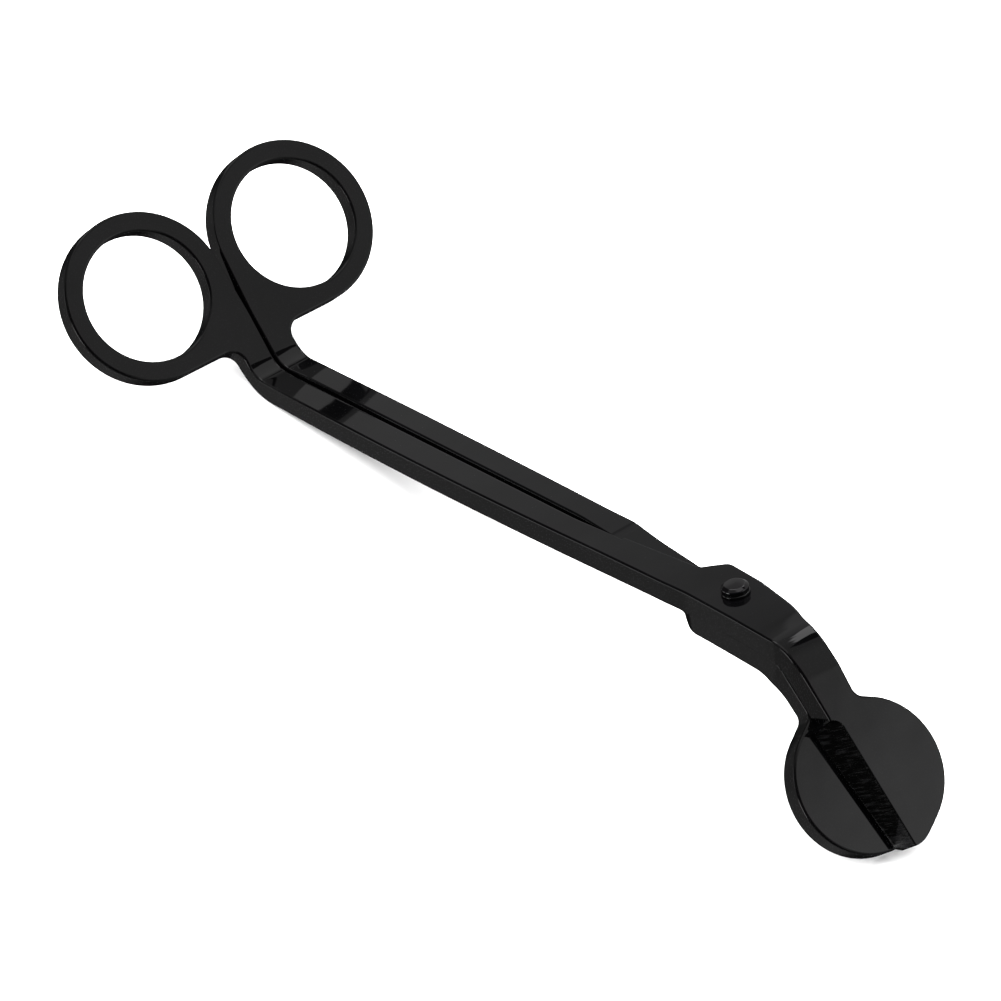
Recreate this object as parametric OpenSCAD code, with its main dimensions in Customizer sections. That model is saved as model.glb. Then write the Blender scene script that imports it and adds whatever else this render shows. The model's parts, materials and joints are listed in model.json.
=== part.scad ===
// Candle wick trimmer.
// Two cranked halves cross at one rivet. The finger rings tilt up, the shanks run straight, and the
// half-round cutting heads dip down, so that the head can reach a wick inside a jar.
// Design frame of the shanks: X towards the head, Y across, Z out of the upper face.
// Every node is then pitched so that the closed trimmer rests on its rear bend and the tip of its head.

/* [Node] */
// one node, or all of them

/* [Plate] */
// thickness of each half
plate = 3.5; // [2.5:0.1:5]
// angle that the ring plane and the head plane make with the shanks
crank = 56; // [30:1:70]
// inner radius of the rear bend
rear_bend_r = 6.5; // [3:0.5:8]
// outer radius of the front bend of the upper half
front_bend_r = 5.5; // [4.5:0.1:9]
// height of the upper half's face above the shanks' middle, from the pivot to the tip
upper_face = 2.05; // [1.75:0.05:3]
// gap between the two halves where they lie on each other
lap_gap = 0.1; // [0.05:0.01:0.3]

/* [Finger rings] */
// radius of a finger hole
hole_r = 10.5; // [9:0.1:14]
// outer radius of a ring
ring_r = 13.7; // [12:0.1:14.2]
// distance from the middle of the trimmer to a ring's centre
ring_y = 14.3; // [13:0.1:20]
// distance from the rear bend's corner back to the rings' centres
ring_back = 20; // [20:0.5:40]
// edge break round the finger holes
hole_chamfer = 0.25; // [0.1:0.05:0.5]
// radius of the corner between a ring and its shank
ring_root_r = 2.4; // [1:0.1:3]

/* [Shanks] */
// distance between the corners of the two bends
shank_length = 128.7; // [90:0.1:160]
// width of each shank at the rear bend
shank_y = 4.7; // [3.5:0.1:7]
// width of each shank where the halves start to lap
shank_front_y = 4.5; // [3.5:0.1:7]
// where the halves start to lap
lap_start = 86; // [60:1:95]
// where the pivot boss starts
boss_start = 102; // [92:1:106]

/* [Pivot] */
// distance from the rear bend's corner to the rivet
pivot_x = 113.3; // [105:0.1:118]
// sideways place of the rivet
pivot_y = 0.7; // [-0.5:0.1:1.5]
// radius of the rivet's shank
pin_r = 1.5; // [1:0.05:2.5]
// radial running clearance of the upper half on the rivet
pin_play = 0.05; // [0.01:0.01:0.1]
// radius of the rivet's head
rivet_head_r = 2.05; // [1.8:0.05:4]
// height of the rivet's head
rivet_head_h = 1.1; // [0.8:0.1:3]
// thickness of the collar under the rivet's head
collar_h = 0.4; // [0.3:0.1:1.5]
// how far the collar stands out from under the rivet's head
collar_rim = 0.1; // [0.05:0.05:0.5]
// gap between the collar and the upper half
collar_gap = 0.05; // [0.02:0.01:0.2]
// radius of the closed end of the rivet
rivet_tail_r = 2.3; // [1.8:0.1:4]
// height of the closed end of the rivet
rivet_tail_h = 0.7; // [0.3:0.1:1.5]
// edge break of the rivet's head and of its closed end
rivet_break = 0.45; // [0.2:0.05:0.6]

/* [Cutting head] */
// radius of the round head
head_r = 11.0; // [10:0.1:12]
// distance from the front bend's corner to the centre of the head
head_x = 20.8; // [18:0.1:26]
// sideways place of the centre of the head
head_y = -1.0; // [-1.5:0.1:-0.5]
// radius of the rounded tip of the upper blade
tip_r = 3.5; // [2.5:0.1:4]
// how far the tip stands out past the round head
tip_out = 0.6; // [0.3:0.1:1]
// how far the tip's near side lies from the middle line
tip_low = 2.6; // [2:0.1:3]
// near side of the neck between the front bend and the head
neck_near_y = -4.4; // [-4.6:0.05:-4]
// far side of the upper half's neck
neck_far_y = 2.2; // [2:0.1:2.6]
// radius under the front bend of the lower half
under_bend_r = 8; // [4:0.5:9]
// far edge of the lower blade, under the upper one
lower_edge_y = 0.3; // [0:0.1:1]
// where the grinding of the blades starts, from the front bend's corner
grind_x = 11.5; // [11:0.1:14]
// sideways place of the upper blade's cutting edge where the grinding starts
edge_root_y = -5.3; // [-5.6:0.1:-5]
// turn of the upper blade's cutting edge from the middle line
edge_turn = 6.5; // [4:0.5:8]
// height of the flat land at a cutting edge
land = 1.0; // [0.4:0.1:1.5]
// width of the ground bevel behind a cutting edge
bevel = 2.4; // [1.5:0.1:3.5]

/* [Hidden] */
$fn = 96;
// overlap of neighbouring sections, and a reach past the trimmer's side
e = 0.02;
side = 6;
half = plate / 2;
lap = upper_face - plate;
lower_top = lap - lap_gap;
lower_face = upper_face - 2 * plate;
slit = ring_y - ring_r;
seam = lap_gap / 2;
// middle of the rear bend above the shanks, its outer radius, and its reach along each plane
rear_c = half + rear_bend_r;
heel_r = plate + rear_bend_r;
rear_tan = rear_c * tan(crank / 2);
front_c = upper_face - front_bend_r;
front_tan = -front_c * tan(crank / 2);
bar_end = shank_length - front_tan;
lower_neck_y = neck_near_y - lap_gap / 2;
web = ring_back - ring_r;
// rest position: the line that touches the rear bend below and the lower blade's tip
tip_x = shank_length + (head_x + head_r) * cos(crank) + lower_face * sin(crank) - rear_tan;
tip_z = -(head_x + head_r) * sin(crank) + lower_face * cos(crank) - rear_c;
pitch = -atan2(tip_z, tip_x) - asin(heel_r / norm([tip_x, tip_z]));
tilt = crank - pitch;
// centre of the rounded tip of the upper blade
nose_x = head_x + head_r + tip_out - tip_r;
nose_y = tip_r - tip_low;
lift = heel_r - rear_tan * sin(pitch) - rear_c * cos(pitch);
x_min = -(ring_back + ring_r) * cos(tilt) - half * sin(tilt);
x_max = shank_length * cos(pitch) + (nose_x + tip_r) * cos(tilt) + upper_face * sin(tilt);
x_mid = (x_min + x_max) / 2;

// from the shank frame to the rest position
module rest() {
    translate([-x_mid, 0, lift])
        rotate([0, -pitch, 0])
            children();
}

// from a ring's own plane to the shank frame
module ring_plane() {
    rotate([0, crank, 0])
        children();
}

// from the head's own plane to the shank frame
module head_plane() {
    translate([shank_length, 0, 0])
        rotate([0, crank, 0])
            children();
}

// a flat plate with the children's outline between two heights
module slab(z0, z1) {
    translate([0, 0, z0])
        linear_extrude(height = z1 - z0)
            children();
}

// a side profile in X and Z, drawn out across Y
module across(y0, y1) {
    translate([0, y1, 0])
        rotate([90, 0, 0])
            linear_extrude(height = y1 - y0)
                children();
}

// a turn about Y of a rectangular section, ending at the direction end_a in the XZ plane
module bend(r0, r1, y0, y1, end_a) {
    rotate([90, 0, 0])
        rotate([0, 0, end_a - crank])
            rotate_extrude(angle = crank)
                translate([r0, -y1])
                    square([r1 - r0, y1 - y0]);
}

// outline of a ring with its square inner corner and the root of its shank, on the +Y side
module ring_outline() {
    translate([-ring_back, ring_y])
        circle(r = ring_r);
    translate([-ring_back, slit])
        square([ring_back - web, ring_y - slit]);
    translate([-web - 1, slit])
        square([web + 1 - rear_tan + e, shank_y - slit]);
    difference() {
        translate([-web - e, shank_y - e])
            square(ring_root_r);
        translate([-web + ring_root_r, shank_y + ring_root_r])
            circle(r = ring_root_r);
    }
}

// finger hole with a broken edge on both faces
module finger_hole() {
    translate([-ring_back, ring_y, 0]) {
        cylinder(r = hole_r, h = plate + 2, center = true);
        translate([0, 0, half - hole_chamfer])
            cylinder(r1 = hole_r, r2 = hole_r + 2 * hole_chamfer, h = 2 * hole_chamfer);
        translate([0, 0, -half - hole_chamfer])
            cylinder(r1 = hole_r + 2 * hole_chamfer, r2 = hole_r, h = 2 * hole_chamfer);
    }
}

// ring, rear bend and shank, on the +Y side
module handle() {
    ring_plane()
        difference() {
            slab(-half, half)
                ring_outline();
            finger_hole();
        }
    translate([rear_tan, 0, rear_c])
        bend(rear_bend_r, heel_r, slit, shank_y, 270);
    slab(-half, half)
        polygon([
            [rear_tan - e, slit],
            [lap_start, seam],
            [lap_start, shank_front_y],
            [rear_tan - e, shank_y]
        ]);
}

// outline of the upper half round the rivet
module upper_boss() {
    polygon([
        [boss_start, -4.1],
        [106, -3.95],
        [111, -3.95],
        [118, -4.15],
        [bar_end + e, neck_near_y],
        [bar_end + e, neck_far_y],
        [122, 3.8],
        [113.5, 5.1],
        [106.8, 5.45],
        [105.6, 4.85],
        [103, 1.9],
        [boss_start, 1.6]
    ]);
    translate([106.8, 3.9])
        circle(r = 1.55);
}

// outline of the lower half round the rivet
module lower_boss() {
    polygon([
        [boss_start, 5.4],
        [107, 5.0],
        [114.5, 4.3],
        [120, 2.6],
        [124.5, lower_edge_y],
        [bar_end + e, lower_edge_y],
        [bar_end + e, lower_neck_y],
        [118, -4.05],
        [112, -3.85],
        [109, -3.85],
        [107.4, -3.7],
        [105.7, -3.15],
        [104.2, -2.3],
        [boss_start, -1.2]
    ]);
}

// the piece of the upper half between its shank and its boss
module upper_lap() {
    intersection() {
        slab(-plate, 2 * plate)
            polygon([
                [lap_start, -seam],
                [lap_start, -shank_front_y],
                [boss_start, -4.1],
                [boss_start, -seam]
            ]);
        across(-side, side)
            polygon([
                [lap_start, -half],
                [boss_start, lap],
                [boss_start, upper_face],
                [lap_start, half]
            ]);
    }
    intersection() {
        slab(-plate, 2 * plate)
            polygon([
                [lap_start + 2, -seam - e],
                [boss_start, -seam - e],
                [boss_start, 1.6],
                [lap_start + 2, 0.4]
            ]);
        across(-side, side)
            polygon([
                [lap_start, half + lap_gap],
                [boss_start, lap],
                [boss_start, upper_face],
                [lap_start, half + lap_gap + e]
            ]);
    }
}

// the piece of the lower half between its shank and its boss
module lower_lap() {
    intersection() {
        slab(-2 * plate, plate)
            polygon([
                [lap_start, seam],
                [boss_start, seam],
                [boss_start, 5.4],
                [98, 5.3],
                [92, 4.8],
                [lap_start, shank_front_y]
            ]);
        across(-side, side)
            polygon([
                [lap_start, -half],
                [boss_start, lower_face],
                [boss_start, lower_top],
                [lap_start, half]
            ]);
    }
    intersection() {
        slab(-2 * plate, plate)
            polygon([
                [lap_start + 2, seam + e],
                [lap_start + 2, -0.4],
                [boss_start, -1.2],
                [boss_start, seam + e]
            ]);
        across(-side, side)
            polygon([
                [lap_start, -half - lap_gap - e],
                [boss_start, lower_face],
                [boss_start, lower_top],
                [lap_start, -half - lap_gap]
            ]);
    }
}

// outline of the upper blade: the bar of the jaw and the round head above its cutting edge
module upper_blade() {
    polygon([
        [front_tan - e, neck_near_y],
        [5.9, -3.75],
        [12, -3.4],
        [12, 0],
        [10.7, 3.6],
        [9.7, 2.4],
        [7.5, neck_far_y],
        [front_tan - e, neck_far_y]
    ]);
    intersection() {
        translate([head_x, head_y])
            circle(r = head_r);
        polygon([
            [9, -5.6],
            [nose_x, nose_y - tip_r],
            [nose_x, nose_y],
            [34, 3],
            [34, 14],
            [9, 14]
        ]);
    }
    translate([nose_x, nose_y])
        circle(r = tip_r);
}

// outline of the lower blade
module lower_blade() {
    polygon([
        [front_tan - e, lower_edge_y],
        [12, lower_edge_y],
        [12, -3],
        [10.8, -5.6],
        [9.6, -4.4],
        [8, -4.1],
        [front_tan - e, lower_neck_y]
    ]);
    intersection() {
        translate([head_x, head_y])
            circle(r = head_r);
        translate([9, -14])
            square([25, 14 + lower_edge_y]);
    }
}

// the wedge that the grinding of a bevel takes off, along X, with the cutting edge at Y = 0
module bevel_cut(length) {
    rotate([90, 0, 90])
        linear_extrude(height = length)
            polygon([
                [-2, land],
                [0, land],
                [bevel, plate],
                [bevel + 1, plate + (plate - land) / bevel],
                [-2, plate + (plate - land) / bevel]
            ]);
}

// fills the corner under the lower half's front bend with a radius
module under_bend() {
    corner_x = shank_length + lower_face * tan(crank / 2);
    reach = under_bend_r * tan(crank / 2);
    across(lower_neck_y + 0.2, lower_edge_y - 0.1)
        polygon(concat(
            [for (a = [0 : crank / 7 : crank])
                [corner_x - reach + under_bend_r * sin(a), lower_face - under_bend_r * (1 - cos(a))]],
            [[corner_x + reach * cos(crank) + e, lower_face - reach * sin(crank) + e],
                [corner_x + 1, lower_face + 1],
                [corner_x - reach, lower_face + e]]
        ));
}

module upper_half() {
    color([0.11, 0.11, 0.12])
        rest()
            difference() {
                union() {
                    mirror([0, 1, 0])
                        handle();
                    upper_lap();
                    slab(lap, upper_face)
                        upper_boss();
                    translate([bar_end, 0, front_c])
                        bend(front_bend_r - plate, front_bend_r, neck_near_y, neck_far_y, 90);
                    head_plane()
                        slab(lap, upper_face)
                            upper_blade();
                }
                translate([pivot_x, pivot_y, lap - 1])
                    cylinder(r = pin_r + pin_play, h = plate + 2);
                head_plane()
                    translate([grind_x, edge_root_y, lap])
                        rotate([0, 0, edge_turn])
                            bevel_cut(2 * head_r);
            }
}

module lower_half() {
    color([0.10, 0.10, 0.11])
        rest()
            difference() {
                union() {
                    handle();
                    lower_lap();
                    slab(lower_face, lower_top)
                        lower_boss();
                    translate([bar_end, 0, front_c])
                        bend(0, lower_top - front_c, lower_neck_y, lower_edge_y, 90);
                    under_bend();
                    head_plane()
                        slab(lower_face, lower_top)
                            lower_blade();
                }
                translate([pivot_x, pivot_y, lower_face - 1])
                    cylinder(r = pin_r, h = plate + 2);
                head_plane()
                    translate([grind_x, lower_edge_y, lower_top])
                        mirror([0, 1, 0])
                            mirror([0, 0, 1])
                                bevel_cut(2 * head_r);
            }
}

// rivet: head, shank and the end that is closed over under the lower half
module rivet() {
    head_z = upper_face + collar_gap + collar_h;
    color([0.13, 0.13, 0.14])
        rest()
            translate([pivot_x, pivot_y, 0])
                rotate_extrude()
                    polygon([
                        [0, lower_face - rivet_tail_h],
                        [rivet_tail_r - rivet_break, lower_face - rivet_tail_h],
                        [rivet_tail_r, lower_face - rivet_tail_h + rivet_break],
                        [rivet_tail_r, lower_face],
                        [pin_r, lower_face],
                        [pin_r, head_z],
                        [rivet_head_r, head_z],
                        [rivet_head_r, head_z + rivet_head_h - rivet_break],
                        [rivet_head_r - rivet_break, head_z + rivet_head_h],
                        [0, head_z + rivet_head_h]
                    ]);
}

// plain collar under the rivet's head
module rivet_collar() {
    color([0.16, 0.16, 0.17])
        rest()
            translate([pivot_x, pivot_y, upper_face + collar_gap])
                difference() {
                    cylinder(r = rivet_head_r + collar_rim, h = collar_h);
                    translate([0, 0, -1])
                        cylinder(r = pin_r, h = collar_h + 2);
                }
}

upper_half();
lower_half();
rivet();
rivet_collar();
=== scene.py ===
import json
import math

import bmesh
import bpy
from mathutils import Matrix, Vector


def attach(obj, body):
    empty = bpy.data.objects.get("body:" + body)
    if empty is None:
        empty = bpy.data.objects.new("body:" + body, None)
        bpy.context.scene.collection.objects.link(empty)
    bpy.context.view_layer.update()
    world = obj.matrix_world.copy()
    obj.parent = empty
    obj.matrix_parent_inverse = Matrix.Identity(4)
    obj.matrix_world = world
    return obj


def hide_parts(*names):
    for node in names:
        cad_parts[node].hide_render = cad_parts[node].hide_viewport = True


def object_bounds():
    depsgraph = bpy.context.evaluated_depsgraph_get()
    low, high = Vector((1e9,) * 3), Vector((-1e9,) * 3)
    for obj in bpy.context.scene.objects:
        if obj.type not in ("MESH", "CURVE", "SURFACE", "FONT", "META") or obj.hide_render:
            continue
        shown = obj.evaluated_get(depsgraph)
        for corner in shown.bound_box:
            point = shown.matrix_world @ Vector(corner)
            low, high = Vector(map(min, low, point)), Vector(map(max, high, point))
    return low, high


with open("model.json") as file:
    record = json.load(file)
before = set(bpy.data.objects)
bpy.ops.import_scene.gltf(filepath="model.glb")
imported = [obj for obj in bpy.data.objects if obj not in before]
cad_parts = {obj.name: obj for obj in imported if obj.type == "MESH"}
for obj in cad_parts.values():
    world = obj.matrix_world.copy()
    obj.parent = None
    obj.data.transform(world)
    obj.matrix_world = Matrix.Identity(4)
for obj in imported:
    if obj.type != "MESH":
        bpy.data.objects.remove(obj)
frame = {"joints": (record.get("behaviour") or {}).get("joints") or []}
cad_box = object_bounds()

# Each half is drawn flat, as an outline in the shank frame, and made into a plate with rounded edges.
# The plate is cut across where it bends or is ground, and each of its points then moves to the height
# that the half's faces have there and turns with the bends.

# ---------------------------------------------------------------- sizes in millimetres, as in the CAD

MM = 0.001
PLATE = 3.5
HALF = PLATE / 2
CRANK = math.radians(56)   # angle of the ring and head planes to the shanks
EDGE_R = 0.3           # rounding of the plates' edges
LEDGE_R = 0.1          # rounding round the ledge where the halves cross
WEB_R = 0.12           # rounding of the edges between the two webs
BLADE_R = 0.1          # rounding of the upper blade
MATED_R = 0.06         # rounding where the two halves lie on each other
EDGE_SPREAD = 1.3      # how much wider than deep the rounding is
EDGE_STEPS = 5         # and its steps on each side
RIM = 0.03             # flat strip inside the rounding that keeps the faces' shading flat
MITRE_LIMIT = 1.6      # most that a corner's point moves in, as a multiple of its sides
ARC_STEP = 4.0         # degrees between the points of an arc
FILLET_STEP = 7.0      # degrees between the points of a rounded corner
FILLET_SHARE = 0.48    # most of a side that one rounded corner takes
WELD = 1e-4            # points closer than this are one
SHARP_ANGLE = math.radians(24)   # edges that turn further than this stay sharp

RING_R = 13.69         # outer radius of a ring
HOLE_R = 10.5          # radius of a finger hole
RING_Y = 14.3          # from the middle to each ring's centre
RING_BACK = 20.0       # from the rear bend's corner back to the rings' centres
RING_ROOT_R = 2.4      # radius of the corner between a ring and its shank
WEB_GAP = 0.25         # from the middle to each web
SHANK_GAP = 0.4        # from the middle to each shank
UPPER_BELLY = 0.7      # how far each shank's outer side swells half way along
LOWER_BELLY = 0.3
WEB = RING_BACK - RING_R   # length of the web between the rear bend and a ring
WEB_END = 5.0          # how far past the rear bend the webs' smaller rounding reaches

SHANK_LENGTH = 128.7   # between the corners of the two bends
SHANK_Y = 4.7          # from the middle to a shank's outer side at the rear bend, and at the lap
SHANK_FRONT_Y = 4.5
SHANK_STEPS = 12
REAR_BEND = 6.8        # how far the stations reach each way from the two bends' corners
FRONT_BEND = 5.4
BEND_ROW = 0.85        # distance between the lines that run along the bends
LAP_START = 86.0       # where the lower half starts to dip under the upper one
LEDGE_START = 88.0     # where they start to overlap
BOSS_START = 102.0     # where both are level again, round the pivot
LAP_EASE = 1.0         # how far each way the two ends of that ramp are eased
BOSS_EASE = 2.0
EDGE_FADE = 6.0        # length over which the shanks' rounding turns into the lap's
SEAM = 0.05            # from the middle to each half's wall where they cross
EDGE_SIDE_Y = -2.5     # points past this belong to the cutting edge's side of the jaw

UPPER_FACE = 2.05      # height of the upper half's face from the boss on
RISE_START = 8.0       # where it starts to rise to that height
LAP = UPPER_FACE - PLATE
LAP_GAP = 0.1          # between the two halves where they lie on each other
LAP_MIN = 0.3          # least thickness of the upper half where it thins out over the lap
RAMP_LEAN = 0.035      # how much the lower half's ramp falls for each millimetre outwards
LOWER_TOP = LAP - LAP_GAP
LOWER_FACE = UPPER_FACE - 2 * PLATE

REAR_R_ABOVE = 5.0     # radii of the two faces in the rear bend
REAR_R_BELOW = 10.5
FRONT_R = 5.5          # radius of the upper half's face in the front bend
INNER_CORNER_R = 8.0   # radius in the corner under the lower half's front bend
NECK_DRAFT = 0.45      # how far the neck's side leans out at its foot
NECK_Y = -3.8          # where that lean is full beside the blade's root, from none at its edge
FRONT_CROWN = 0.0046   # how the front bend's face drops away from its crest, by distance squared
FRONT_CREST_Y = -7.0
FRONT_REACH = 5.0      # how far along the shank it does so, each way from the corner
REAR_CROWN = 0.009     # the same for the rear bends, and how far each crest is from its shank's -Y side
REAR_CREST = 1.47
REAR_REACH = 6.0
REAR_BOWL = 1.6        # distance past which the drop goes on straight

PIVOT_X = 113.3        # the rivet's axis
PIVOT_Y = 0.7
PIN_R = 1.5
PIN_PLAY = 0.05        # between the pin and the upper half
COLLAR_GAP = 0.05      # between the upper half and the collar
COLLAR_H = 0.4
COLLAR_RIM = 0.1       # how far the collar stands out past the rivet's head
RIVET_HEAD_R = 2.05
RIVET_HEAD_H = 1.09
RIVET_TAIL_R = 2.3
RIVET_TAIL_H = 0.7
TURNED_SIDES = 64

HEAD_X = SHANK_LENGTH + 20.8   # centre of the round head
HEAD_Y = -1.0
HEAD_R = 11.0
TIP_BULGE = 0.71       # how far the upper blade's tip stands out of the round
TIP_ANGLE = 6.0        # where on the round that is, and how wide it spreads, in degrees
TIP_SPREAD = 13.5
LOWER_EDGE_Y = 0.3     # the lower blade's cutting edge, under the upper blade
LOWER_BEVEL = 2.6      # width of the lower blade's bevel
GRIND_X = SHANK_LENGTH + 11.7   # where the upper blade's cutting edge starts
EDGE_ROOT_Y = -5.2     # where it is across the tool there
EDGE_SLOPE = 0.137     # how the cutting edge turns towards the middle
BEVEL_TOP_Y = -1.88    # the bevel's upper line, which turns less
BEVEL_TOP_SLOPE = 0.057
LAND = 0.8             # thickness that the grinding leaves at the edge
ROOT_X = GRIND_X - 0.5 # where the bevels start at the neck
ROOT_R = 1.9           # rounding of the bevel's corner at the neck
ROOT_RUN = 0.9         # length over which the grinding runs out at the neck
UPPER_BLEND = 0.2      # how softly each bevel meets that run
LOWER_BLEND = 0.3
MARK_DEPTH = 0.02      # faces ground deeper than this are part of a bevel
TIP_FACET = (SHANK_LENGTH + 27.6, -0.97)   # a point on the line where the tip's facet starts
TIP_SQUARE = (0.4, 0.917)                  # square to that line
TIP_RELIEF = 0.1       # share of the grinding lost for each millimetre past that line

# ---------------------------------------------------------------- the shank frame in the row frame

pivot = frame["joints"][0]
PIVOT_POINT = Vector(pivot["pos_m"])
Z_AXIS = Vector(pivot["axis"]).normalized()
Y_AXIS = Vector((0, 1, 0))
X_AXIS = Y_AXIS.cross(Z_AXIS)


def placed(x, y, z):
    """A point of the shank frame, in millimetres, in the row frame, in metres."""
    return PIVOT_POINT + MM * ((x - PIVOT_X) * X_AXIS + (y - PIVOT_Y) * Y_AXIS + z * Z_AXIS)


def ring_or_head(corner_x, u, h):
    """Shank-frame x and z of a point u along and h off a plane that dips by the crank angle."""
    return (
        corner_x + u * math.cos(CRANK) + h * math.sin(CRANK),
        -u * math.sin(CRANK) + h * math.cos(CRANK),
    )


def along(s, h, rear_r, front_r):
    """Shank-frame x and z of the point at s on a face of height h, with its radii in the two bends."""
    rear_c = h + rear_r
    rear_reach = rear_c * math.tan(CRANK / 2)
    front_c = h - front_r
    front_reach = -front_c * math.tan(CRANK / 2)
    if s < -rear_reach:
        return ring_or_head(0, s, h)
    if s < rear_reach:
        turn = CRANK * (rear_reach - s) / (2 * rear_reach)
        return rear_reach - rear_r * math.sin(turn), rear_c - rear_r * math.cos(turn)
    if s < SHANK_LENGTH - front_reach:
        return s, h
    if s < SHANK_LENGTH + front_reach:
        turn = CRANK * (s - SHANK_LENGTH + front_reach) / (2 * front_reach)
        x = SHANK_LENGTH - front_reach + front_r * math.sin(turn)
        return x, front_c + front_r * math.cos(turn)
    return ring_or_head(SHANK_LENGTH, s - SHANK_LENGTH, h)


# ---------------------------------------------------------------- outlines of the flat halves

def arc(cx, cy, r, start, end, step=ARC_STEP):
    """Points on a circle from one angle to another, in degrees, both ends included."""
    count = max(2, int(abs(end - start) / step) + 1)
    angles = [math.radians(start + (end - start) * k / count) for k in range(count + 1)]
    return [(cx + r * math.cos(a), cy + r * math.sin(a), 0) for a in angles]


def fillet(before, corner, after, r):
    """The arc that rounds a corner with radius r, or with less where its sides are short."""
    at = Vector(corner[:2])
    a = Vector(before[:2]) - at
    b = Vector(after[:2]) - at
    half_angle = a.angle(b) / 2
    reach = min(r / math.tan(half_angle), FILLET_SHARE * a.length, FILLET_SHARE * b.length)
    r = reach * math.tan(half_angle)
    a.normalize()
    b.normalize()
    centre = at + (a + b).normalized() * (r / math.sin(half_angle))
    first = at + a * reach - centre
    last = at + b * reach - centre
    turn = first.angle_signed(last)
    count = max(2, int(abs(math.degrees(turn)) / FILLET_STEP) + 1)
    return [centre + Matrix.Rotation(-turn * k / count, 2) @ first for k in range(count + 1)]


def rounded(before, corner, after):
    """The points of an (s, y, r) corner: the corner itself, or an arc where it has a radius r."""
    return fillet(before, corner, after, corner[2]) if corner[2] else [Vector(corner[:2])]


def outline(corners):
    """A closed outline from (s, y, r) corners, each rounded with its radius r."""
    points = []
    for k, corner in enumerate(corners):
        points += rounded(corners[k - 1], corner, corners[(k + 1) % len(corners)])
    return [p for k, p in enumerate(points) if (p - points[k - 1]).length > WELD]


def shank_side(belly):
    """The outer side of a shank, which swells by belly half way between the rear bend and the lap."""
    points = []
    for k in range(SHANK_STEPS):
        share = 1 - k / SHANK_STEPS
        y = SHANK_Y + (SHANK_FRONT_Y - SHANK_Y) * share + 4 * belly * share * (1 - share)
        points.append((LAP_START * share, y, 0))
    return points


def ring_corners(belly):
    """From a shank's outer side round its ring to its inner side, for the half with its ring at +Y."""
    root = arc(-WEB + RING_ROOT_R, SHANK_Y + RING_ROOT_R, RING_ROOT_R, 270, 180, 7)
    ring = arc(-RING_BACK, RING_Y, RING_R, 0, 270)
    slit = [
        (-RING_BACK + 9, WEB_GAP, 60),
        (3, WEB_GAP, 20),
        (7, SHANK_GAP, 20),
        (LAP_START - 9, SHANK_GAP, 60),
    ]
    return shank_side(belly) + root + ring + slit + [(LAP_START, SEAM, 0)]


def head_arc(start, end, bulge):
    """The round of the head, with a bulge at the upper blade's tip."""
    points = []
    for s, y, r in arc(0, 0, 1, start, end, 2.5):
        angle = math.degrees(math.atan2(y, s))
        reach = HEAD_R + bulge * math.exp(-(((angle - TIP_ANGLE) / TIP_SPREAD) ** 2))
        points.append((HEAD_X + reach * s, HEAD_Y + reach * y, r))
    return points


def lower_outline():
    """The lower half: its ring is at +Y and its blade at -Y, with its jaw under the upper one."""
    front = SHANK_LENGTH
    jaw = [
        (LEDGE_START, SEAM, 0),
        (LEDGE_START, -0.4, 0.15),
        (BOSS_START, -1.0, 3.0),
        (104.2, -2.3, 4.0),
        (106.8, -3.75, 9.0),
        (111, -3.86, 12),
        (118, -4.15, 12),
        (front, -4.55, 12),
        (front + 4, -4.3, 12),
        (front + 9.6, -3.95, 1.6),
    ]
    back = [
        (HEAD_X + 10.9, LOWER_EDGE_Y, 0.5),
        (124.5, LOWER_EDGE_Y, 3.0),
        (120, 2.7, 6),
        (114.5, 4.3, 12),
        (107, 5.0, 12),
        (102, 5.4, 12),
        (97.5, 5.25, 12),
        (91, 4.65, 14),
    ]
    return outline(ring_corners(LOWER_BELLY) + jaw + head_arc(-150, 5, 0) + back)


def upper_outline():
    """The upper half: its ring is at -Y and its blade at +Y, with its jaw on the lower one."""
    front = SHANK_LENGTH
    handle = [(s, -y, r) for s, y, r in reversed(ring_corners(UPPER_BELLY))]
    jaw = [
        (102, -4.15, 30),
        (107, -3.92, 20),
        (118, -4.2, 30),
        (front - 1, -4.6, 14),
        (front + 3.4, -3.82, 14),
        (GRIND_X - 0.35, -3.4, 0.25),
        (GRIND_X, EDGE_ROOT_Y, 0.12),
        (HEAD_X + 10.6, EDGE_ROOT_Y + (HEAD_X + 10.6 - GRIND_X) * EDGE_SLOPE, 0.6),
    ]
    back = [
        (front + 9.94, 2.25, 1.9),
        (front + 5, 2.35, 12),
        (front - 1, 2.15, 14),
        (122.2, 3.75, 14),
        (113.8, 5.1, 14),
        (106.2, 5.5, 1.7),
        (103.2, 1.85, 1.6),
        (LEDGE_START, 0.42, 0.15),
        (LEDGE_START, -SEAM, 0),
    ]
    return outline(handle + jaw + head_arc(-1, 150, TIP_BULGE) + back)


# ---------------------------------------------------------------- plates

def inset(loop, distances):
    """A closed loop with each point moved to its left by its distance."""
    moved = []
    for k, point in enumerate(loop):
        a = (point - loop[k - 1]).normalized()
        b = (loop[(k + 1) % len(loop)] - point).normalized()
        side = Vector((-a.y, a.x))
        normal = (side + Vector((-b.y, b.x))).normalized()
        mitre = min(MITRE_LIMIT, 1 / max(0.3, normal.dot(side)))
        moved.append(point + normal * distances[k] * mitre)
    return moved


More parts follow.
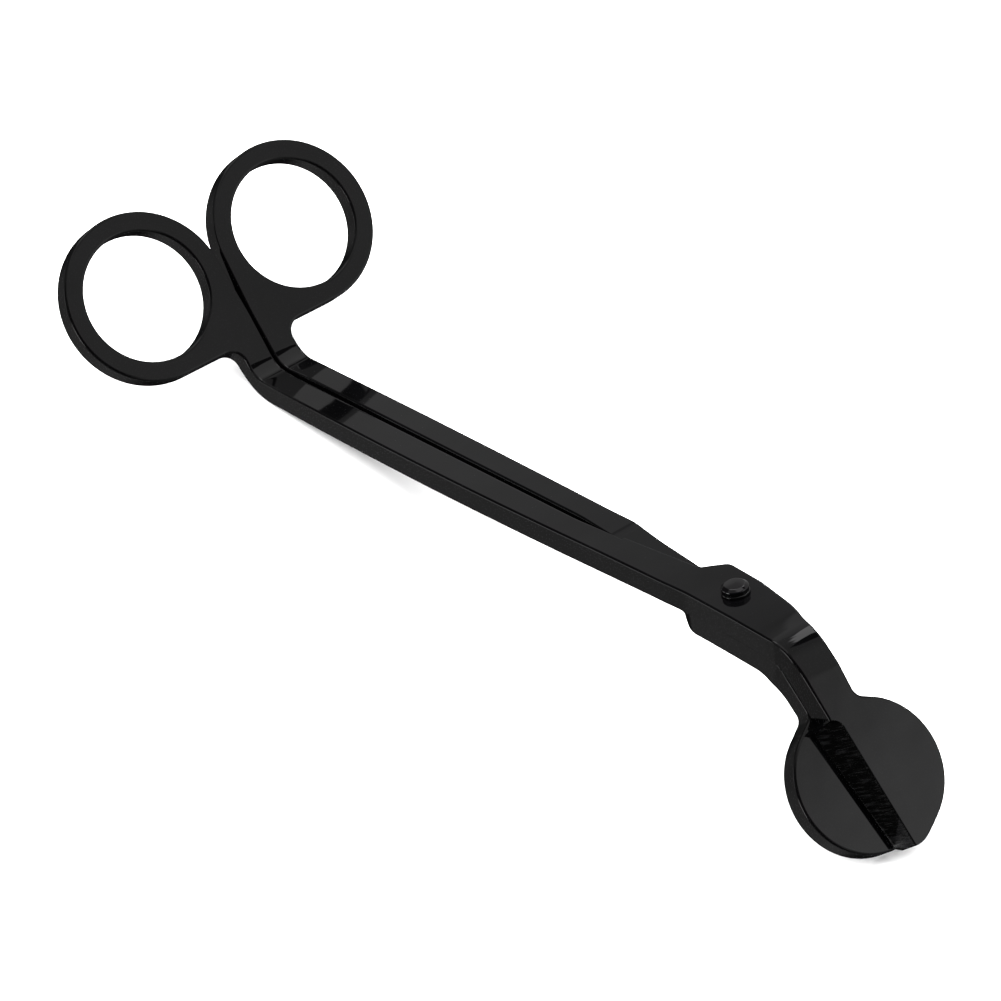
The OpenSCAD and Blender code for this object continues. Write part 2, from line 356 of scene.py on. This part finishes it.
def flat_plate(loops, radius):
    """A flat plate from its outline and its holes, with its edges rounded by radius(s, y, side)."""
    mesh = bmesh.new()
    top_edges = []
    bottom_edges = []
    # side, angle round the edge and margin, from the lower face up to the upper one
    levels = [(-1, math.pi / 2, RIM)]
    levels += [(-1, math.pi / 2 * k / EDGE_STEPS, 0) for k in range(EDGE_STEPS, -1, -1)]
    levels += [(1, angle, margin) for side, angle, margin in reversed(levels)]
    for loop in loops:
        rows = []
        for side, angle, margin in levels:
            radii = [radius(p.x, p.y, side) for p in loop]
            row = inset(loop, [EDGE_SPREAD * r * (1 - math.cos(angle)) + margin for r in radii])
            heights = [side * (HALF - r * (1 - math.sin(angle))) for r in radii]
            rows.append([mesh.verts.new((p.x, p.y, h)) for p, h in zip(row, heights)])
        for lower, upper in zip(rows, rows[1:]):
            for k in range(len(loop)):
                mesh.faces.new((lower[k - 1], lower[k], upper[k], upper[k - 1]))
        for row, edges in ((rows[0], bottom_edges), (rows[-1], top_edges)):
            edges += [mesh.edges.get((row[k - 1], row[k])) for k in range(len(row))]
    for edges, side in ((top_edges, 1), (bottom_edges, -1)):
        bmesh.ops.triangle_fill(mesh, edges=edges, use_beauty=True, normal=(0, 0, side))
    return mesh


def cut(mesh, point, normal, low=-1e9, high=1e9):
    """Adds edges where a plane crosses the faces that lie between two values of s."""
    faces = [f for f in mesh.faces if any(low < v.co.x < high for v in f.verts)]
    edges = {e for f in faces for e in f.edges}
    verts = {v for f in faces for v in f.verts}
    bmesh.ops.bisect_plane(
        mesh,
        geom=faces + list(edges) + list(verts),
        dist=1e-5,
        plane_co=(*point, 0),
        plane_no=(*normal, 0),
    )


def cut_across(mesh, start, end, step):
    """Stations from one value of s to another, close enough together for a smooth turn."""
    count = round((end - start) / step)
    for k in range(count + 1):
        cut(mesh, (start + (end - start) * k / count, 0), (1, 0))


def eased(s, start, end, low, high):
    """From low at start to high at end, and level on both sides."""
    return low + (high - low) * min(1.0, max(0.0, (s - start) / (end - start)))


def run_up(s, start, ease):
    """Nothing before start and the distance from it after, eased round the turn."""
    d = s - start
    if d < -ease:
        return 0.0
    if d > ease:
        return d
    return (d + ease) ** 2 / (4 * ease)


def ramp(s, low, high):
    """From low where the lap starts to high where the boss starts."""
    finish = BOSS_START - BOSS_EASE
    run = run_up(s, LAP_START, LAP_EASE) - run_up(s, finish, BOSS_EASE)
    return low + (high - low) * run / (finish - LAP_START)


def ramp_share(s):
    """One on the ramp and nothing before and after it."""
    start = eased(s, LAP_START - LAP_EASE, LAP_START + LAP_EASE, 0, 1)
    return min(start, eased(s, BOSS_START - BOSS_EASE, BOSS_START, 1, 0))


def bowl(d):
    """The square of a distance, going on straight past a certain distance."""
    return d * d if abs(d) < REAR_BOWL else REAR_BOWL * (2 * abs(d) - REAR_BOWL)


def swell(s, centre, reach):
    """One at the centre and nothing past the reach."""
    return max(0.0, 1 - ((s - centre) / reach) ** 2) ** 2


def smooth_min(a, b, width):
    """The smaller of two values, rounded off where they are within width of each other."""
    blend = max(0.0, 1 - abs(a - b) / width)
    return min(a, b) - width * blend * blend / 4


def upper_ground(s, y):
    """How deep the grinding cuts into the upper blade's face at a point."""
    edge = EDGE_ROOT_Y + EDGE_SLOPE * (s - GRIND_X)
    top = BEVEL_TOP_Y + BEVEL_TOP_SLOPE * (s - GRIND_X)
    a = top - y
    b = s - ROOT_X
    corner = ROOT_R - math.hypot(ROOT_R - a, ROOT_R - b) if max(a, b) < ROOT_R else min(a, b)
    share = smooth_min(a / (top - edge), corner / ROOT_RUN, UPPER_BLEND)
    relief = 1 - TIP_RELIEF * max(0.0, past_facet(s, y))
    return (PLATE - LAND) * relief * min(1.0, max(0.0, share))


def past_facet(s, y):
    """Distance past the line where the tip's facet starts."""
    return (s - TIP_FACET[0]) * TIP_SQUARE[0] + (y - TIP_FACET[1]) * TIP_SQUARE[1]


def lower_ground(s, y):
    """How deep the grinding cuts into the lower blade's underside at a point."""
    rise = (y - LOWER_EDGE_Y + LOWER_BEVEL) / LOWER_BEVEL
    share = smooth_min(rise, (s - ROOT_X) / ROOT_RUN, LOWER_BLEND)
    return (PLATE - LAND) * min(1.0, max(0.0, share))


def upper_faces(s, y):
    """Heights of the lower and upper faces of the upper half."""
    top = eased(s, RISE_START, BOSS_START, HALF, UPPER_FACE)
    bottom = ramp(s, -HALF, LAP)
    if y > -SEAM / 2 and LAP_START < s < BOSS_START:
        bottom = min(top - LAP_MIN, ramp(s, HALF + LAP_GAP, LAP))
    if s > ROOT_X:
        top -= upper_ground(s, y)
    top -= swell(s, SHANK_LENGTH, FRONT_REACH) * FRONT_CROWN * (y - FRONT_CREST_Y) ** 2
    top -= swell(s, 0, REAR_REACH) * REAR_CROWN * bowl(y + SHANK_Y - REAR_CREST)
    return bottom, top


def lower_faces(s, y):
    """Heights of the lower and upper faces of the lower half."""
    bottom = ramp(s, -HALF, LOWER_FACE)
    top = ramp(s, HALF, LOWER_TOP)
    if y < SEAM / 2 and LAP_START < s < BOSS_START:
        top = ramp(s, -HALF - LAP_GAP, LOWER_TOP)
    if y > 0:
        top -= RAMP_LEAN * y * ramp_share(s)
    if s > ROOT_X:
        bottom += lower_ground(s, y)
    top -= swell(s, 0, REAR_REACH) * REAR_CROWN * bowl(y - REAR_CREST)
    return bottom, top


def cut_grinding(mesh, top_y, top_slope, side):
    """Edges along a bevel's upper line, across the bevel and close together round its root."""
    normal = Vector((-top_slope, 1)).normalized()
    past_tip = HEAD_X + 2 * HEAD_R
    close = [0.13 * k for k in range(-1, 16)]
    wide = [2.2 + 0.3 * k for k in range(6)]
    for depth in close + wide:
        cut(mesh, (GRIND_X, top_y - side * depth), normal, GRIND_X - 1, past_tip)
    for k in range(22):
        cut(mesh, (GRIND_X - 0.7 + 0.11 * k, 0), (1, 0), GRIND_X - 4, GRIND_X + 6)
    cut(mesh, TIP_FACET, TIP_SQUARE, GRIND_X + 10, past_tip)


def neck_lean(s, y):
    """How much of the neck's draft a point has: all beside the neck, and none before or after it."""
    if y >= EDGE_SIDE_Y or s >= GRIND_X - 0.02:
        return 0.0
    share = eased(s, SHANK_LENGTH - 2, SHANK_LENGTH + 3, 0, 1)
    if s > ROOT_X - 0.1:
        share *= eased(y, EDGE_ROOT_Y, NECK_Y, 0, 1)
    return share


def bent(mesh, faces, rear_radii, front_radii, draft):
    """Gives each point the heights of its half's faces and turns it through the bends."""
    for vert in mesh.verts:
        s, y, h = vert.co
        share = (h + HALF) / PLATE
        bottom, top = faces(s, y)
        x0, z0 = along(s, bottom, rear_radii[0], front_radii[0])
        x1, z1 = along(s, top, rear_radii[1], front_radii[1])
        y -= draft * neck_lean(s, y) * (1 - share)
        vert.co = placed(x0 + (x1 - x0) * share, y, z0 + (z1 - z0) * share)


def finished(mesh, name, materials, body, node):
    """Makes the object of a mesh: smooth faces, sharp creases, materials, body and CAD node."""
    bmesh.ops.remove_doubles(mesh, verts=mesh.verts, dist=1e-7)
    bmesh.ops.recalc_face_normals(mesh, faces=mesh.faces)
    for face in mesh.faces:
        face.smooth = True
    for edge in mesh.edges:
        edge.smooth = len(edge.link_faces) == 2 and edge.calc_face_angle(0) < SHARP_ANGLE
    data = bpy.data.meshes.new(name)
    mesh.to_mesh(data)
    mesh.free()
    piece = bpy.data.objects.new(name, data)
    bpy.context.scene.collection.objects.link(piece)
    for material in materials:
        data.materials.append(material)
    normals = piece.modifiers.new("normals", "WEIGHTED_NORMAL")
    normals.keep_sharp = True
    normals.weight = 80
    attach(piece, body)
    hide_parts(node)
    return piece


def circle(cx, cy, r):
    """A hole's loop, clockwise, so that its inset grows the hole."""
    return [Vector(p[:2]) for p in reversed(arc(cx, cy, r, 0, 360, 5)[:-1])]


def mark_ground(mesh, ground, up):
    """Gives the faces of a bevel the second material, and those of the tip's facet the third, which is
    the bevel's steel with its colour painted lighter as a painted sheen.
    """
    bmesh.ops.recalc_face_normals(mesh, faces=mesh.faces)
    for face in mesh.faces:
        middle = face.calc_center_median()
        inside = middle.x > ROOT_X and ground(middle.x, middle.y) > MARK_DEPTH
        if inside and face.normal.z * up > 0.5:
            face.material_index = 2 if up > 0 and past_facet(middle.x, middle.y) > 0 else 1


def web_radius(s, y):
    """The edge rounding behind the shanks, smaller within 1 to 4 mm of the middle."""
    return EDGE_R + (eased(abs(y), 1, 4, WEB_R, EDGE_R) - EDGE_R) * eased(s, -1, WEB_END, 1, 0)


def upper_radius(s, y, side):
    """The upper half's rounding: smaller on the lower half, at the ledge and on the blade."""
    if s < WEB_END:
        return web_radius(s, y)
    if side < 0:
        return eased(s, LAP_START, BOSS_START, EDGE_R, MATED_R)
    if y > EDGE_SIDE_Y and s < BOSS_START + 1.5:
        return eased(s, LAP_START - EDGE_FADE, LAP_START, EDGE_R, LEDGE_R)
    return eased(s, ROOT_X - 0.5, GRIND_X, EDGE_R, BLADE_R)


def lower_radius(s, y, side):
    """The lower half's rounding: smaller where the upper half lies on it."""
    if s < WEB_END:
        return web_radius(s, y)
    if side < 0:
        return EDGE_R
    rim = eased(s, SHANK_LENGTH - 1, SHANK_LENGTH + 4, 0, EDGE_R - MATED_R)
    return rim + eased(s, LAP_START - EDGE_FADE, LAP_START, EDGE_R, MATED_R)


def half_mesh(loop, ring_side, pin_r, radius):
    """A half's flat plate with its finger hole and pivot hole, cut where it bends, rises or dips."""
    holes = [circle(-RING_BACK, ring_side * RING_Y, HOLE_R), circle(PIVOT_X, PIVOT_Y, pin_r)]
    mesh = flat_plate([loop] + holes, radius)
    cut_across(mesh, -REAR_BEND, REAR_BEND, 0.45)
    cut_across(mesh, LAP_START - LAP_EASE, LAP_START + LAP_EASE, 0.25)
    cut_across(mesh, BOSS_START - 2 * BOSS_EASE, BOSS_START, 1)
    cut_across(mesh, SHANK_LENGTH - FRONT_BEND, SHANK_LENGTH + FRONT_BEND, 0.3)
    for corner, stations in ((SHANK_LENGTH, FRONT_BEND), (0, REAR_BEND)):
        reach = stations - 0.1
        for k in range(10):
            cut(mesh, (0, BEND_ROW * k - 4.1), (0, 1), corner - reach, corner + reach)
    # where the halves cross, their faces step at the seam, so the step has an edge on each side
    for y in (-SEAM / 2 - 0.01, -SEAM / 2, SEAM / 2, SEAM / 2 + 0.01):
        cut(mesh, (0, y), (0, 1), LAP_START, BOSS_START)
    return mesh


def build_upper_half(materials):
    """The half on top, whose blade is ground on its upper face."""
    mesh = half_mesh(upper_outline(), -1, PIN_R + PIN_PLAY, upper_radius)
    cut_grinding(mesh, BEVEL_TOP_Y, BEVEL_TOP_SLOPE, 1)
    mark_ground(mesh, upper_ground, 1)
    bent(mesh, upper_faces, (REAR_R_BELOW, REAR_R_ABOVE), (FRONT_R - PLATE, FRONT_R), NECK_DRAFT)
    return finished(mesh, "upper_half_forging", materials, "upper", "upper_half")


def build_lower_half(materials):
    """The half underneath, whose blade is ground on its underside."""
    mesh = half_mesh(lower_outline(), 1, PIN_R, lower_radius)
    cut_grinding(mesh, LOWER_EDGE_Y - LOWER_BEVEL, 0, -1)
    mark_ground(mesh, lower_ground, -1)
    front = (INNER_CORNER_R, FRONT_R - PLATE - LAP_GAP)
    bent(mesh, lower_faces, (REAR_R_BELOW, REAR_R_ABOVE), front, 0)
    return finished(mesh, "lower_half_forging", materials, "lower", "lower_half")


# ---------------------------------------------------------------- turned pieces

def turned(profile, name, material, node):
    """A piece turned about the rivet's axis from (radius, height) points."""
    mesh = bmesh.new()
    around = [2 * math.pi * k / TURNED_SIDES for k in range(TURNED_SIDES)]
    rows = []
    for r, h in profile:
        rows.append([
            mesh.verts.new(placed(PIVOT_X + r * math.cos(a), PIVOT_Y + r * math.sin(a), h))
            for a in (around if r else [0.0])
        ])
    pairs = list(zip(rows, rows[1:]))
    if profile[0][0]:
        pairs.append((rows[-1], rows[0]))
    for lower, upper in pairs:
        for k in range(TURNED_SIDES):
            below = [lower[k - 1], lower[k]] if len(lower) > 1 else lower
            above = [upper[k], upper[k - 1]] if len(upper) > 1 else upper
            mesh.faces.new(below + above)
    return finished(mesh, name, [material], "lower", node)


def rounded_profile(corners):
    """A profile from (radius, height, rounding) corners, open at both ends."""
    points = [Vector(corners[0][:2])]
    for before, corner, after in zip(corners, corners[1:], corners[2:]):
        points += rounded(before, corner, after)
    return points + [Vector(corners[-1][:2])]


def build_rivet(material):
    """The rivet: a closed end under the lower half, the pin, and a domed head on the collar."""
    head = UPPER_FACE + COLLAR_GAP + COLLAR_H
    top = head + RIVET_HEAD_H
    tail = LOWER_FACE - RIVET_TAIL_H
    profile = rounded_profile([
        (0, tail, 0),
        (RIVET_TAIL_R - 0.5, tail, 0.5),
        (RIVET_TAIL_R, LOWER_FACE - 0.2, 0.15),
        (RIVET_TAIL_R, LOWER_FACE, 0),
        (PIN_R, LOWER_FACE, 0),
        (PIN_R, head, 0),
        (RIVET_HEAD_R, head, 0.1),
        (RIVET_HEAD_R, top - 0.4, 0.25),
        (RIVET_HEAD_R - 0.5, top - 0.05, 0.4),
        (0, top, 0),
    ])
    return turned(profile, "pivot_rivet", material, "rivet")


def build_collar(material):
    """The thin ring between the upper half and the rivet's head."""
    base = UPPER_FACE + COLLAR_GAP
    outer = RIVET_HEAD_R + COLLAR_RIM
    profile = rounded_profile([
        (PIN_R, base, 0),
        (outer, base, 0.08),
        (outer, base + COLLAR_H, 0.15),
        (PIN_R, base + COLLAR_H, 0),
    ])
    return turned(profile, "rivet_collar_ring", material, "rivet_collar")


# ---------------------------------------------------------------- materials

def node_material(name):
    """A new material, with its nodes, its links and its main shader."""
    material = bpy.data.materials.new(name)
    material.use_nodes = True
    nodes = material.node_tree.nodes
    return material, nodes, material.node_tree.links, nodes["Principled BSDF"]


def noise(nodes, links, coordinates, scale, detail, rough=0.5):
    """A noise value, whose scale is in waves for each metre."""
    texture = nodes.new("ShaderNodeTexNoise")
    texture.inputs["Scale"].default_value = scale
    texture.inputs["Detail"].default_value = detail
    texture.inputs["Roughness"].default_value = rough
    links.new(coordinates, texture.inputs["Vector"])
    return texture.outputs["Fac"]


def spread(nodes, links, value, low, high):
    """Maps a 0.3 to 0.7 noise value onto a range."""
    mapped = nodes.new("ShaderNodeMapRange")
    mapped.inputs["From Min"].default_value = 0.3
    mapped.inputs["From Max"].default_value = 0.7
    mapped.inputs["To Min"].default_value = low
    mapped.inputs["To Max"].default_value = high
    links.new(value, mapped.inputs["Value"])
    return mapped.outputs["Result"]


def tone(nodes, links, value, dark, light, low=0.35, high=0.65):
    """A colour between dark and light, for a value between low and high."""
    ramp_node = nodes.new("ShaderNodeValToRGB")
    ramp_node.color_ramp.elements[0].position = low
    ramp_node.color_ramp.elements[0].color = (*dark, 1)
    ramp_node.color_ramp.elements[1].position = high
    ramp_node.color_ramp.elements[1].color = (*light, 1)
    links.new(value, ramp_node.inputs["Fac"])
    return ramp_node.outputs["Color"]


def bump(nodes, links, value, strength, distance):
    """A normal from a height value, with the distance in metres."""
    node = nodes.new("ShaderNodeBump")
    node.inputs["Strength"].default_value = strength
    node.inputs["Distance"].default_value = distance
    links.new(value, node.inputs["Height"])
    return node.outputs["Normal"]


def black_coating(name, rough_low, rough_high, ior):
    """Gloss black coated steel: faint waviness of the forging under the coat and uneven gloss."""
    material, nodes, links, shader = node_material(name)
    coordinates = nodes.new("ShaderNodeTexCoord").outputs["Object"]
    broad = noise(nodes, links, coordinates, 90, 2)
    fine = noise(nodes, links, coordinates, 1400, 4, 0.6)
    colour = tone(nodes, links, broad, (0.0004, 0.0004, 0.00045), (0.0009, 0.0009, 0.0010))
    links.new(colour, shader.inputs["Base Color"])
    links.new(spread(nodes, links, fine, rough_low, rough_high), shader.inputs["Roughness"])
    links.new(bump(nodes, links, broad, 0.1, 0.0003), shader.inputs["Normal"])
    shader.inputs["IOR"].default_value = ior
    return material


def ground_steel(name, dark, light):
    """A ground bevel: coated over grinding marks that run across it, a little aslant."""
    material, nodes, links, shader = node_material(name)
    coordinates = nodes.new("ShaderNodeTexCoord").outputs["Object"]
    forward = X_AXIS * math.cos(CRANK) - Z_AXIS * math.sin(CRANK)
    off = X_AXIS * math.sin(CRANK) + Z_AXIS * math.cos(CRANK)
    across = (Y_AXIS + off * (PLATE - LAND) / (BEVEL_TOP_Y - EDGE_ROOT_Y)).normalized()
    turned_by = math.radians(16)
    lengthwise = across * math.cos(turned_by) + forward * math.sin(turned_by)
    square = forward * math.cos(turned_by) - across * math.sin(turned_by)
    stretch = 0.14
    combine = nodes.new("ShaderNodeCombineXYZ")
    for axis, scale, socket in ((lengthwise, stretch, "X"), (square, 1.0, "Y")):
        dot = nodes.new("ShaderNodeVectorMath")
        dot.operation = "DOT_PRODUCT"
        dot.inputs[1].default_value = axis * scale
        links.new(coordinates, dot.inputs[0])
        links.new(dot.outputs["Value"], combine.inputs[socket])
    marks = noise(nodes, links, combine.outputs["Vector"], 3200, 3, 0.5)
    links.new(tone(nodes, links, marks, dark, light, 0.52, 0.7), shader.inputs["Base Color"])
    links.new(spread(nodes, links, marks, 0.2, 0.34), shader.inputs["Roughness"])
    links.new(bump(nodes, links, marks, 0.4, 0.0002), shader.inputs["Normal"])
    shader.inputs["IOR"].default_value = 1.5
    return material


def floor_material():
    """White paper with a faint grain."""
    material, nodes, links, shader = node_material("floor_paper")
    coordinates = nodes.new("ShaderNodeTexCoord").outputs["Object"]
    grain = noise(nodes, links, coordinates, 60, 3)
    colour = tone(nodes, links, grain, (0.90, 0.90, 0.90), (0.92, 0.92, 0.92))
    links.new(colour, shader.inputs["Base Color"])
    shader.inputs["Roughness"].default_value = 0.9
    return material


# ---------------------------------------------------------------- stage

FLOOR_SIZE = 1.5       # metres, each way from the middle
FLOOR_GAP = 0.00005    # metres below the trimmer's lowest point
CAMERA_AZIMUTH = -36.35
CAMERA_ELEVATION = 38.99
CAMERA_ROLL = -3.62
CAMERA_DISTANCE = 0.8429             # metres from the point that it looks at
CAMERA_AIM = (-0.0060, 0, -0.0042)   # that point, in metres from the middle of the CAD box
CAMERA_LENS = 202.3
ROOM = 0.2             # brightness of the room where there is no panel
# Each panel has its azimuth and elevation, its inner and outer radius in degrees, and its brightness.
# The bright ones are soft lights and the dark ones gaps between them. Later ones cover earlier ones.
PANELS = [
    ((0, -90), 30, 95, 0.17),
    ((180, -20), 15, 35, 0.11),
    ((144, -39), 25, 45, 0.012),
    ((-36, -30), 25, 40, 0.03),
    ((95, 60), 25, 41, 0.65),
    ((90, 0), 57, 60.8, 0.3),
    ((130, 28), 12, 14.5, 0.4),
    ((38, 30), 10, 35, 0.42),
    ((37, 24), 9, 12.4, 0.92),
    ((156, 15), 5.5, 11, 0.34),
    ((-50, 26), 40, 50, 0.03),
    ((5, 43), 13, 15, 0.03),
    ((-97, -7), 11, 14, 3.5),
    ((-166, 31), 23, 28, 0.03),
    ((-137, 0), 9, 12, 1.2),
    ((168, 55), 9, 13, 1.6),
    ((46, 60), 8.5, 9.5, 0.02),
    ((120, 42), 5.5, 6.5, 1.7),
    ((113, 46), 5.5, 6.5, 1.7),
    ((105, 48), 5.5, 6.5, 1.7),
    ((92.5, 50.5), 5.5, 6.5, 0.02),
    ((164, 28), 7, 9, 0.03),
]


def build_floor():
    """The table under the trimmer, which isn't mirrored in the coating."""
    mesh = bmesh.new()
    bmesh.ops.create_grid(mesh, x_segments=8, y_segments=8, size=FLOOR_SIZE)
    data = bpy.data.meshes.new("floor")
    mesh.to_mesh(data)
    mesh.free()
    data.materials.append(floor_material())
    floor = bpy.data.objects.new("floor", data)
    floor.location = (0, 0, cad_box[0][2] - FLOOR_GAP)
    floor.visible_glossy = False
    bpy.context.scene.collection.objects.link(floor)


def direction(azimuth, elevation):
    """The direction of an azimuth and an elevation in degrees."""
    azimuth, elevation = math.radians(azimuth), math.radians(elevation)
    return (
        math.cos(elevation) * math.cos(azimuth),
        math.cos(elevation) * math.sin(azimuth),
        math.sin(elevation),
    )


def patch(nodes, links, level, look, inner, outer, value):
    """The level, but the value within inner degrees of a direction, blended until outer degrees."""
    dot = nodes.new("ShaderNodeVectorMath")
    dot.operation = "DOT_PRODUCT"
    dot.inputs[1].default_value = direction(*look)
    links.new(nodes["Texture Coordinate"].outputs["Generated"], dot.inputs[0])
    share = nodes.new("ShaderNodeMapRange")
    share.interpolation_type = "SMOOTHSTEP"
    share.inputs["From Min"].default_value = math.cos(math.radians(outer))
    share.inputs["From Max"].default_value = math.cos(math.radians(inner))
    links.new(dot.outputs["Value"], share.inputs["Value"])
    mix = nodes.new("ShaderNodeMix")
    links.new(share.outputs["Result"], mix.inputs["Factor"])
    if isinstance(level, float):
        mix.inputs["A"].default_value = level
    else:
        links.new(level, mix.inputs["A"])
    mix.inputs["B"].default_value = value
    return mix.outputs["Result"]


def build_world():
    """A studio: a pale room with soft panels, darker towards the floor and behind the camera."""
    world = bpy.data.worlds.new("studio")
    world.use_nodes = True
    nodes = world.node_tree.nodes
    links = world.node_tree.links
    nodes.new("ShaderNodeTexCoord")
    level = ROOM
    for look, inner, outer, value in PANELS:
        level = patch(nodes, links, level, look, inner, outer, value)
    background = nodes["Background"]
    background.inputs["Color"].default_value = (1, 1, 1, 1)
    links.new(level, background.inputs["Strength"])
    bpy.context.scene.world = world


def build_sun():
    """Broad light from above, which keeps the floor white and isn't mirrored in the coating."""
    data = bpy.data.lights.new("overhead", "SUN")
    data.energy = 12.0
    data.angle = math.radians(110)
    sun = bpy.data.objects.new("overhead", data)
    sun.rotation_euler = (math.radians(8), math.radians(-8), 0)
    sun.visible_glossy = False
    bpy.context.scene.collection.objects.link(sun)


def build_camera():
    """A long lens from above the near side of the head."""
    low, high = cad_box
    target = (Vector(low) + Vector(high)) / 2 + Vector(CAMERA_AIM)
    away = Vector(direction(CAMERA_AZIMUTH, CAMERA_ELEVATION))
    right = Vector((0, 0, 1)).cross(away).normalized()
    up = away.cross(right)
    roll = Matrix.Rotation(math.radians(CAMERA_ROLL), 3, "Z")
    axes = Matrix((right, up, away)).transposed() @ roll
    data = bpy.data.cameras.new("camera")
    data.sensor_width = 36
    data.lens = CAMERA_LENS
    data.clip_start = 0.01
    camera = bpy.data.objects.new("camera", data)
    camera.matrix_world = Matrix.Translation(target + away * CAMERA_DISTANCE) @ axes.to_4x4()
    bpy.context.scene.collection.objects.link(camera)
    bpy.context.scene.camera = camera


def build_all():
    """The four pieces with their materials, then the floor, the light and the camera."""
    coating = black_coating("black_coating", 0.03, 0.05, 1.5)
    rivet_coating = black_coating("rivet_coating", 0.05, 0.09, 1.7)
    bevels = ground_steel("ground_bevel", (0.00005, 0.00005, 0.00005), (0.0030, 0.0030, 0.0032))
    # The tip's facet is the same ground steel with a lighter colour: a painted sheen for the brighter
    # light its flatter slope catches.
    facet = ground_steel("tip_facet_painted_sheen", (0.0022, 0.0022, 0.0024), (0.0034, 0.0034, 0.0036))
    build_upper_half([coating, bevels, facet])
    build_lower_half([coating, bevels])
    build_rivet(rivet_coating)
    build_collar(rivet_coating)
    build_floor()
    build_world()
    build_sun()
    build_camera()


build_all()
bpy.context.scene.view_settings.view_transform = "Standard"
